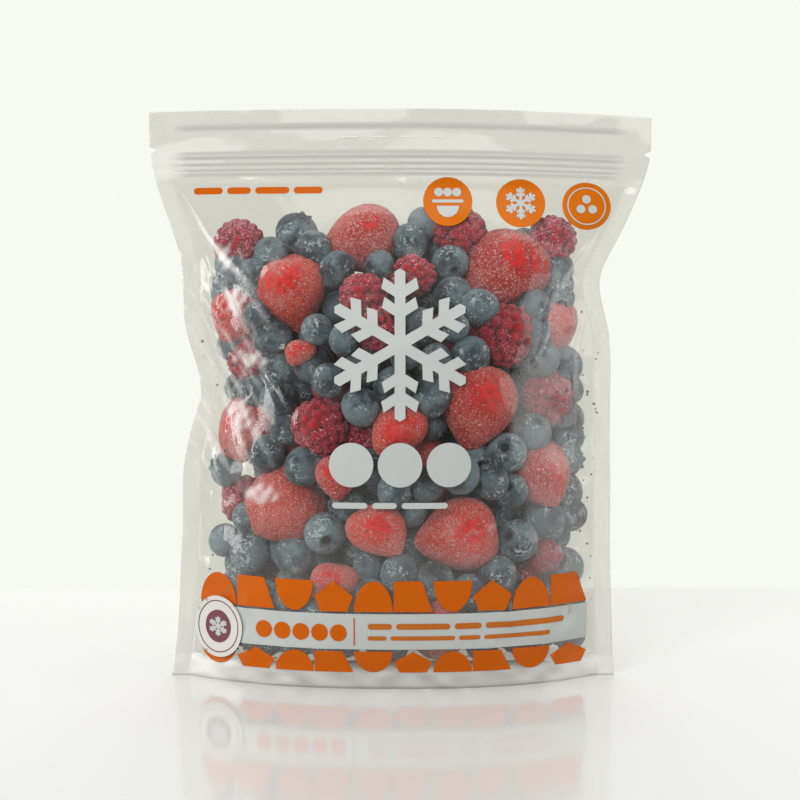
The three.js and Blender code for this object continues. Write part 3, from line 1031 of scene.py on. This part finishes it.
def blueberryMaterial():
    # dark skin under an uneven bloom, with frost in patches
    paint = Paint("frostedBlueberry")
    where = paint.place()
    wide = paint.noise(where, 95, 4, 0.62)
    fine = paint.noise(where, 900, 3, 0.6)
    colour = paint.mix(paint.value("tone"), *blueSkin["flesh"])
    bloom = (wide.between(0.34, 0.60) * (0.5 + paint.value("frost") * 0.6) * (0.3 + fine * 1.2)).held()
    colour = paint.lay(bloom, colour, blueSkin["bloom"])
    patch = paint.noise(where, 150, 3, 0.6).between(0.46, 0.62)
    colour = paint.lay(fine.between(0.48, 0.64) * patch, colour, blueSkin["frost"])
    colour = paint.lay(paint.value("end"), colour, blueSkin["crown"])
    return paint.finish(paint.principled({
        "Base Color": colour, "Roughness": 0.45 + bloom * 0.25,
        "Normal": paint.bump(*blueSkin["relief"], fine),
        "Sheen Weight": 0.15, "Sheen Roughness": 0.5, "Sheen Tint": blueSkin["sheen"],
    }))


def inkMaterial(name, colour, worn, roughness=0.28):
    paint = Paint(name)
    where = paint.place()
    cloud = paint.noise(where, 70, 3, 0.5)
    grain = paint.noise(where, 1400, 2, 0.5)
    shaded = paint.mix(cloud * 0.5, colour, worn)
    return paint.finish(paint.principled({
        "Base Color": shaded, "Roughness": roughness + cloud * 0.1, "Specular IOR Level": 0.13,
        "Normal": paint.bump(0.05, 0.0002, grain),
    }))


# The print: flat shapes on the panel, cut into small triangles and laid on the film

printing = {"spacing": 1.5, "lift": 0.2, "discSides": 40, "dotSides": 16, "barSides": 7, "bowlSides": 18}

def insideLoops(points, loops):
    inside = np.zeros(len(points), dtype=bool)
    px, py = points.T
    for loop in loops:
        x0, y0 = loop.T
        x1, y1 = np.roll(loop, -1, axis=0).T
        for ax, ay, bx, by in zip(x0, y0, x1, y1):
            if ay == by:
                continue
            crosses = (ay > py) != (by > py)
            inside ^= crosses & (px < (bx - ax) * (py - ay) / (by - ay) + ax)
    return inside


def denser(loop, spacing):
    # adds points along a loop's long sides
    made = []
    for a, b in zip(loop, np.roll(loop, -1, axis=0)):
        steps = max(1, int(np.ceil(np.linalg.norm(b - a) / spacing)))
        made.extend(a + (b - a) * i / steps for i in range(steps))
    return np.array(made)


def cutShape(loops):
    # triangles of one flat shape; the first loop is its outline and the rest are holes
    spacing = printing["spacing"]
    loops = [denser(np.array(loop, dtype=float), spacing) for loop in loops]
    points = np.concatenate(loops)
    edges = []
    start = 0
    for loop in loops:
        n = len(loop)
        edges.extend((start + i, start + (i + 1) % n) for i in range(n))
        start += n
    low, high = points.min(axis=0), points.max(axis=0)
    gx, gy = np.meshgrid(np.arange(low[0], high[0], spacing), np.arange(low[1], high[1], spacing))
    gx = gx + (np.arange(len(gx)) % 2)[:, None] * spacing / 2
    grid = np.stack([gx.ravel(), gy.ravel()], axis=1)
    grid = grid[insideLoops(grid, loops)]
    if len(grid):
        apart = np.sqrt(((grid[:, None] - points[None]) ** 2).sum(axis=2)).min(axis=1)
        grid = grid[apart > spacing * 0.45]
    every = np.concatenate([points, grid]).tolist()
    made = delaunay_2d_cdt(every, edges, [], 0, 1e-5)
    flat = np.array([tuple(p) for p in made[0]])
    triangles = np.array([f for f in made[2] if len(f) == 3])
    middle = flat[triangles].mean(axis=1)
    return flat, triangles[insideLoops(middle, loops)]


def stiffSheet(x, z, radius):
    # a smooth curved sheet just outside the front film, for a label that doesn't follow small bumps
    def terms(a, b):
        return np.stack([np.ones_like(a), a, b, a * a, a * b, b * b], axis=1)

    spots = np.concatenate([disc(0, 0, radius * share) for share in (0.05, 0.35, 0.7, 1)])
    film = onFilm(-1, spots[:, 0] + x, spots[:, 1] + z, 0)
    own = film[:, [0, 2]] - np.array([x, z])
    fit, *_ = np.linalg.lstsq(terms(*own.T), film[:, 1], rcond=None)
    proud = (terms(*own.T) @ fit - film[:, 1]).max()

    def sheet(points, lift):
        points = points.copy()
        points[:, 1] = terms(points[:, 0] - x, points[:, 2] - z) @ fit - proud - lift
        return points

    return sheet


def disc(x, z, radius, sides=printing["discSides"], squash=1.0):
    turn = np.arange(sides) * 2 * math.pi / sides
    return np.stack([x + radius * np.cos(turn), z + squash * radius * np.sin(turn)], axis=1)


def box(x0, z0, x1, z1):
    return np.array([(x0, z0), (x1, z0), (x1, z1), (x0, z1)])


def bar(x0, x1, z, half):
    # a line with round ends
    turn = np.linspace(-math.pi / 2, math.pi / 2, printing["barSides"])
    right = np.stack([x1 - half + half * np.cos(turn), z + half * np.sin(turn)], axis=1)
    left = np.stack([x0 + half - half * np.cos(turn), z - half * np.sin(turn)], axis=1)
    return np.concatenate([right, left])


def halfDisc(x, z, radius, up):
    turn = np.linspace(0, math.pi, printing["bowlSides"])
    return np.stack([x + radius * np.cos(turn), z + up * radius * np.sin(turn)], axis=1)[:: int(up)]


def spun(shape, x, z, angle):
    c, s = math.cos(angle), math.sin(angle)
    return shape @ np.array([[c, s], [-s, c]]) + np.array([x, z])


band = {"left": -76, "right": 71, "pitch": 14.7, "gap": 0.3, "upper": (29.5, 41), "lower": (6.5, 14.5)}


def bandShapes(low, high, shift, trim=0):
    # arches, slanted blocks, bowls and gables in turn, with slim gaps
    made = []
    tall = high - low
    count = int((band["right"] - band["left"]) / band["pitch"])
    wide = (band["right"] - band["left"]) / count
    reach = (wide - band["gap"]) / 2
    middle = tall / 2
    outlines = (
        halfDisc(0, 0, 1, 1) * np.array([reach, tall]),
        np.array([(-reach, 0), (reach, 0), (reach * 0.45, tall), (-reach, tall)]),
        halfDisc(0, 0, 1, -1) * np.array([reach, tall]) + np.array([0, tall]),
        np.array([(-reach * 0.7, 0), (reach * 0.7, 0), (reach, middle), (0, tall), (-reach, middle)]),
    )
    for i in range(trim, count - trim):
        made.append([outlines[(i + shift) % 4] + np.array([band["left"] + wide * (i + 0.5), low])])
    return made


def snowflake(x, z, radius, thick):
    # one outline: arms from the middle, each with two pairs of side twigs
    arms = 6
    arm = [(thick / math.tan(math.pi / arms) + 0.01, thick)]
    twigs = ((0.45, 0.20), (0.70, 0.21))
    lean = math.radians(58)
    for far, long in twigs:
        foot = radius * far
        reach = radius * long
        slim = thick * 0.85
        across = slim / math.sin(lean)
        tip = np.array([foot + reach * math.cos(lean), thick + reach * math.sin(lean)])
        arm += [(foot - across, thick), (tip[0] - across, tip[1]), (tip[0] + across, tip[1] - slim * 0.6)]
        arm += [(foot + across * 1.2, thick)]
    arm += [(radius - thick * 0.6, thick), (radius, 0)]
    arm = np.array(arm)
    mirrored = arm[-2::-1] * np.array([1, -1])
    arm = np.concatenate([arm, mirrored])[::-1]
    outline = [spun(arm, x, z, math.pi / 2 + i * 2 * math.pi / arms) for i in range(arms)]
    return [[np.concatenate(outline)]]


def pressed(points):
    # 1 where a berry's skin touches the film, fading over two millimetres
    spot = gridSpot(points)
    y = points[:, 1]
    gap = np.minimum(y - frontPoints[spot][:, 1], backPoints[spot][:, 1] - y)
    return 1 - smooth(0.6, 2.5, gap)


print("materials")
clearFilm = filmMaterial()
orangeInk = inkMaterial("orangeInk", (0.455, 0.086, 0.0004, 1), (0.38, 0.067, 0.0004, 1))
amberInk = inkMaterial("amberInk", (0.48, 0.112, 0.002, 1), (0.43, 0.098, 0.0016, 1))
brownInk = inkMaterial("brownInk", (0.40, 0.11, 0.012, 1), (0.33, 0.09, 0.01, 1))
whiteInk = inkMaterial("whiteInk", (0.40, 0.42, 0.405, 1), (0.36, 0.375, 0.36, 1))
paleInk = inkMaterial("paleInk", (0.66, 0.66, 0.62, 1), (0.62, 0.62, 0.58, 1))
paperLabel = inkMaterial("paperLabel", (0.52, 0.51, 0.48, 1), (0.46, 0.45, 0.42, 1), 0.55)
darkInk = inkMaterial("darkInk", (0.15, 0.05, 0.065, 1), (0.11, 0.035, 0.05, 1), 0.5)

print("film and print")
filmBag = filmPiece(clearFilm)
strip = {
    "left": -76,
    "right": 71,
    "low": 15.3,
    "high": 28.7,
    "rule": (-17.2, 16.8, -16.7, 27.2),
    "marks": 0.34,  # how far its marks lie off the film
}
sticker = {
    "x": -68.6,
    "z": 20.4,
    "radius": 9.5,
    "rim": (8.1, 0.35),
    "core": 5.1,
    "mark": (3.9, 0.4),
    "tall": 1.22,
    "lifts": (0.4, 0.5, 0.6),
}
badges = {"places": ((18, 181), (45.5, 180.6), (70.5, 180)), "radius": 9.3, "marks": 0.32}
emblem = {"x": 0, "z": 128, "radius": 28, "thick": 2.0}
dots = {"places": (-18, 0, 18), "z": 84, "radius": 8.2}
lines = {
    # where each row of dashes starts and ends, its height and half width, the lengths in turn, the gap
    "stripBar": (-54, -19, 21.5, 3.3, (6.4,), 0.6),
    "stripLines": (-12, 62, 24, 1.1, (9, 20, 10, 30), 1.6),
    "stripSmall": (-12, 58, 19.6, 0.8, (7, 24, 8, 25), 1.4),
    "tagline": (-25, 21, 69, 1.1, (13, 9, 17), 1.8),
    "topBars": (-78, -23, 185.3, 1.3, (11, 9, 13), 1.6),
    "tearLine": (-22, 26, 205.5, 0.28, (6,), 5),
}


def dashes(low, high, z, half, lengths, gap):
    # bars of the given lengths in turn, from one end to the other
    made = []
    start = low
    for turn in range(100):
        end = start + lengths[turn % len(lengths)]
        if end > high:
            return made
        made.append([bar(start, end, z, half)])
        start = end + gap


def ring(x, z, radius, thick, squash=1.0):
    return [disc(x, z, radius, squash=squash), disc(x, z, radius - thick, squash=squash)[::-1]]


def badgeMarks():
    # three berries over a bowl, a snowflake and a ringed trio
    (x0, z0), (x1, z1), (x2, z2) = badges["places"]
    sides = printing["dotSides"]
    marks = [[disc(x0 + dx, z0 + 3.4, 1.7, sides)] for dx in (-3.4, 0, 3.4)]
    marks += [[bar(x0 - 6, x0 + 6, z0, 0.6)], [halfDisc(x0, z0 - 1.8, 4.2, -1)]]
    marks += snowflake(x1, z1, 6.4, 0.55)
    marks += [ring(x2, z2, 7.4, 0.5)]
    marks += [[disc(x2 + 2.6 * math.sin(a), z2 + 2.6 * math.cos(a), 1.7, sides)] for a in (0, 2.09, 4.19)]
    return marks


def printed(name, shapesToCut, ink, lift=printing["lift"], face=-1, sheet=None):
    points = []
    faces = []
    count = 0
    for loops in shapesToCut:
        flat, triangles = cutShape(loops)
        placed = onFilm(face, flat[:, 0], flat[:, 1], lift)
        points.append(sheet(placed, lift) if sheet else placed)
        order = triangles if face < 0 else triangles[:, ::-1]
        faces.extend((order + count).tolist())
        count += len(flat)
    slot = "print_white" if ink in (whiteInk, paleInk, paperLabel) else "print_orange"
    return makePiece(name, np.concatenate(points), faces, ink, slot)


stripShape = [[box(strip["left"], strip["low"], strip["right"], strip["high"])]]
badgeDiscs = [[disc(x, z, badges["radius"])] for x, z in badges["places"]]
onStrip = strip["marks"]
plainLift = printing["lift"]
labelAt = (sticker["x"], sticker["z"])
tall = sticker["tall"]
labelSheet = stiffSheet(*labelAt, sticker["radius"] * tall)
labelDisc, labelCore = ([[disc(*labelAt, sticker[part], squash=tall)]] for part in ("radius", "core"))
labelCore.append(ring(*labelAt, *sticker["rim"], tall))
paperLift, coreLift, markLift = sticker["lifts"]
inks = [printed(*row) for row in (
    # name, shapes and ink, and then how far it lies off the film, the face and the sheet
    ("printBandUpper", bandShapes(*band["upper"], 0), orangeInk),
    ("printBandLower", bandShapes(*band["lower"], 2), orangeInk),
    ("printStrip", stripShape, whiteInk),
    ("printStripBar", dashes(*lines["stripBar"]), orangeInk, onStrip),
    ("printStripLines", dashes(*lines["stripLines"]), brownInk, onStrip),
    ("printStripSmall", dashes(*lines["stripSmall"]), brownInk, onStrip),
    ("printStripRule", [[box(*strip["rule"])]], orangeInk, onStrip),
    ("printEmblem", snowflake(**emblem), whiteInk),
    ("printDots", [[disc(x, dots["z"], dots["radius"])] for x in dots["places"]], whiteInk),
    ("printTagline", dashes(*lines["tagline"]), whiteInk),
    ("printTopBars", dashes(*lines["topBars"]), orangeInk),
    ("printTearLine", dashes(*lines["tearLine"]), paleInk),
    ("printBadges", badgeDiscs, amberInk),
    ("printBadgeMarks", badgeMarks(), whiteInk, badges["marks"]),
    ("printSticker", labelDisc, paperLabel, paperLift, -1, labelSheet),
    ("printStickerCore", labelCore, darkInk, coreLift, -1, labelSheet),
    ("printStickerMark", snowflake(*labelAt, *sticker["mark"]), whiteInk, markLift, -1, labelSheet),
    ("backBandUpper", bandShapes(*band["upper"], 1, 1), orangeInk, plainLift, 1),
    ("backBandLower", bandShapes(*band["lower"], 3, 1), orangeInk, plainLift, 1),
    ("backStrip", stripShape, whiteInk, plainLift, 1),
)]

print("fruit meshes")
skins = {
    "strawberry": ("strawberries", redMaterial("strawberry")),
    "raspberry": ("raspberries", redMaterial("raspberry")),
    "blueberry": ("blueberries", blueberryMaterial()),
}
fruitPieces = []
for kind, group in fruitKinds.items():
    group["values"]["press"] = pressed(group["points"])
    name, skin = skins[kind]
    fruitPieces.append(makePiece(name, group["points"], group["faces"], skin, kind, group["values"]))


crumbs = {
    "count": 80,
    "margin": (66, 75.5),
    "height": (22, 140),
    "foot": (8, 14),
    "atFoot": 0.25,  # share that lies along the foot
    "size": (0.25, 0.62),
}


def crumbShapes():
    # bits of berry stuck inside the film near the margins and the foot
    draw = np.random.default_rng(31)
    polar, around, faces = roundGrid(6, np.radians([50, 90, 130]))
    ball = direction(polar, around)
    points = []
    made = []
    for i in range(crumbs["count"]):
        side = draw.choice([-1, 1], p=[0.3, 0.7])
        x = side * draw.uniform(*crumbs["margin"])
        z = draw.uniform(*crumbs["height"])
        if draw.random() < crumbs["atFoot"]:
            x = draw.uniform(-crumbs["margin"][0], crumbs["margin"][0])
            z = draw.uniform(*crumbs["foot"])
        size = draw.uniform(*crumbs["size"])
        form = ball * draw.uniform(0.6, 1.2, 3) * size
        at = onFilm(-1, np.array([x]), np.array([z]), -size - 0.2)[0]
        made.extend([tuple(k + i * len(ball) for k in face) for face in faces])
        points.append(form + at)
    return np.concatenate(points), made


fruitPieces.append(makePiece("crumbs", *crumbShapes(), darkInk, "raspberry"))

pieces = [filmBag, *inks, *fruitPieces]
for piece in pieces:
    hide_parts("pouch")
    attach(piece, "root")

# The stage: a pale glossy floor that ends behind the bag, a pale backdrop beyond it and soft lights

floor = {
    "edge": 0.235,
    "reach": 3.0,
    "colours": ((0.62, 0.625, 0.605, 1), (0.62, 0.63, 0.60, 1)),  # in front and behind
    "turns": (-0.1, 0.22),
    "roughness": 0.09,
    "shine": 1.3,
    "lit": 0.05,
}
backdrop = {
    "light": 0.13,
    "behind": (0.70, -0.2, 0.5),  # strength, and where it starts and is full
    "above": (0.45, 0.15, 0.8),
    "tints": ((1.0, 0.99, 0.965, 1), (0.93, 0.955, 0.89, 1)),  # as a light, and as the camera sees it
}
lamps = {
    "overhead": {"place": (0, -0.12, 1.2), "target": (0, -0.12, 0), "size": (1.5, 0.6), "radiance": 2.0},
    "rightBox": {"place": (2.2, -0.56, 0.64), "target": (0, 0, 0.1), "size": (1.9, 2.2), "radiance": 1.9},
    "leftStrip": {"place": (-2.2, -0.4, 0.5), "target": (0, 0, 0.12), "size": (0.6, 2), "radiance": 7.0},
    "frontKey": {
        "place": (-1.25, -3.25, 1.5), "target": (0, 0, 0.1), "size": (1.75, 1.75), "radiance": 10.5,
        "mirrored": False,
    },
    "backGlow": {
        "place": (0, 1.2, 0.9), "target": (0, -0.1, 0), "size": (0.9, 0.5), "radiance": 9.0,
        "mirrored": False,
    },
}


def floorMaterial():
    paint = Paint("paleFloor")
    where = paint.place()
    cloud = paint.noise(where, 9, 3, 0.5)
    back = paint.node("ShaderNodeSeparateXYZ", {}, {"Vector": where}, out=1).between(*floor["turns"])
    shaded = paint.mix(back * 0.97 + cloud * 0.03, *floor["colours"])
    return paint.finish(paint.principled({
        "Base Color": shaded, "Roughness": floor["roughness"], "IOR": floor["shine"],
        "Emission Color": (1.0, 0.995, 0.965, 1), "Emission Strength": floor["lit"],
    }))


def stageFloor():
    mesh = bpy.data.meshes.new("floor")
    reach = floor["reach"]
    corners = box(-reach, -reach, reach, floor["edge"]).tolist()
    mesh.from_pydata([(x, y, 0) for x, y in corners], [], [(0, 1, 2, 3)])
    mesh.materials.append(floorMaterial())
    plane = bpy.data.objects.new("floor", mesh)
    bpy.context.collection.objects.link(plane)
    return plane


def softLight(name, place, target, size, radiance, mirrored=True):
    lamp = bpy.data.lights.new(name, "AREA")
    lamp.shape = "RECTANGLE"
    lamp.size, lamp.size_y = size
    lamp.energy = radiance * math.pi * size[0] * size[1]
    light = bpy.data.objects.new(name, lamp)
    light.visible_glossy = mirrored
    light.visible_camera = False
    bpy.context.collection.objects.link(light)
    aim = np.array(target) - np.array(place)
    light.location = place
    light.rotation_euler = Vector(aim).to_track_quat("-Z", "Y").to_euler()
    return light


def lightOnly(lamp, pieces):
    lit = bpy.data.collections.new(lamp.name + "Lit")
    for piece in pieces:
        lit.objects.link(piece)
    lamp.light_linking.receiver_collection = lit


print("studio")
stage = stageFloor()
lights = {name: softLight(name, **lamp) for name, lamp in lamps.items()}
# the side lamps would be mirrored in the floor; the glow behind gives the bag's soft shadow in front
lightOnly(lights["rightBox"], pieces)
lightOnly(lights["leftStrip"], pieces)
lightOnly(lights["backGlow"], [stage])

# the backdrop looks even, but lights the bag mostly from above and behind
world = Paint("paleBackdrop", bpy.data.worlds)
way = world.node("ShaderNodeTexCoord", {}, {}, out=0)
upward = world.node("ShaderNodeSeparateXYZ", {}, {"Vector": way}, out=2)
forward = world.node("ShaderNodeSeparateXYZ", {}, {"Vector": way}, out=1)
seen = world.node("ShaderNodeLightPath", {}, {}, out=0)
behind, *behindRange = backdrop["behind"]
above, *aboveRange = backdrop["above"]
glowing = (behind * forward.between(*behindRange)).most(above * upward.between(*aboveRange))
lit = backdrop["light"] + glowing
strength = lit + seen * (1 - lit)
tint = world.mix(seen, *backdrop["tints"])
glow = world.node("ShaderNodeBackground", {}, {"Color": tint, "Strength": strength})
world.node("ShaderNodeOutputWorld", {}, {"Surface": glow})
bpy.context.scene.world = world.material

view = {"distance": 1.0, "height": 0.1755, "pitch": 4.0, "lens": 118.4}
camera = bpy.data.cameras.new("camera")
camera.lens = view["lens"]
camera.sensor_width = 36
eye = bpy.data.objects.new("camera", camera)
eye.location = (0, -view["distance"], view["height"])
eye.rotation_euler = (math.radians(90 - view["pitch"]), 0, 0)
bpy.context.collection.objects.link(eye)
bpy.context.scene.camera = eye
bpy.context.scene.view_settings.view_transform = "Standard"

for piece in pieces:
    print("triangles", piece.name, sum(len(face.vertices) - 2 for face in piece.data.polygons))
